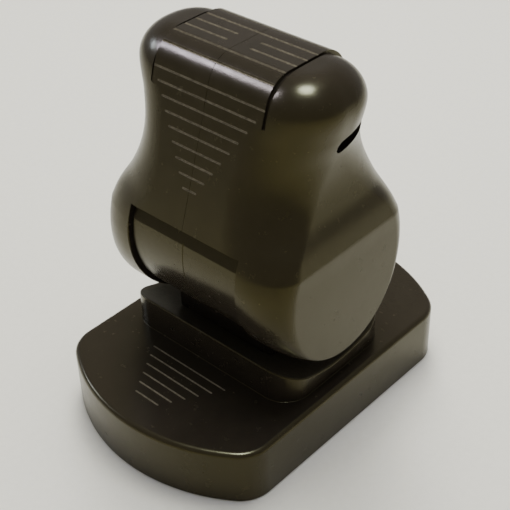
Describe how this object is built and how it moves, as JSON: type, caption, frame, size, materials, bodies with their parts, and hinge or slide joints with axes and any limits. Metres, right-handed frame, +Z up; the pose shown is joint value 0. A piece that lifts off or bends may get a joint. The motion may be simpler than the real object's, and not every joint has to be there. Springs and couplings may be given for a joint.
{
  "type": "tilting horn fitting",
  "caption": "Moulded tilting horn with a grooved grip head, hinged on a knuckle that stands in the saddle of a bowed-end deck base.",
  "frame": {"origin": "middle of the base's underside", "axes": "+Z up out of the deck, +X along the hinge axis towards the horn's right shell, -Y to the front, where the horn's grooved face looks"},
  "size_m": [0.05, 0.0742, 0.0763],
  "materials": {
    "body_plastic": "glossy dark olive-brown moulded plastic",
    "acetal": "natural acetal",
    "stainless": "turned stainless steel",
    "spring_steel": "bright spring steel",
    "brass": "machined brass",
    "rubber": "matte closed-cell rubber"
  },
  "bodies": {
    "base": {"base_plate": "body_plastic", "deck_gasket": "rubber", "deck_insert_front_left": "brass", "deck_insert_front_right": "brass", "deck_insert_rear_left": "brass", "deck_insert_rear_right": "brass", "knuckle": "body_plastic", "clamp_plate": "stainless", "clamp_screw_front_left": "stainless", "clamp_screw_front_right": "stainless", "clamp_screw_rear_left": "stainless", "clamp_screw_rear_right": "stainless", "hinge_bush_left": "acetal", "hinge_bush_right": "acetal", "detent_ball": "stainless", "detent_spring": "spring_steel"},
    "horn": {"horn_shell_left": "body_plastic", "horn_shell_right": "body_plastic", "shell_screw_upper": "stainless", "shell_screw_lower": "stainless", "shell_insert_upper": "brass", "shell_insert_lower": "brass", "screw_plug_upper": "body_plastic", "screw_plug_lower": "body_plastic", "locating_dowel": "stainless", "hinge_pin": "stainless", "thrust_washer_left": "stainless", "thrust_washer_right": "stainless", "wave_spring_left": "spring_steel", "wave_spring_right": "spring_steel"}
  },
  "joints": [
    {"name": "horn_tilt", "type": "hinge", "parent": "base", "child": "horn", "pos_m": [0, 0, 0.03875], "axis": [1, 0, 0], "range_deg": [-75, 75]}
  ]
}
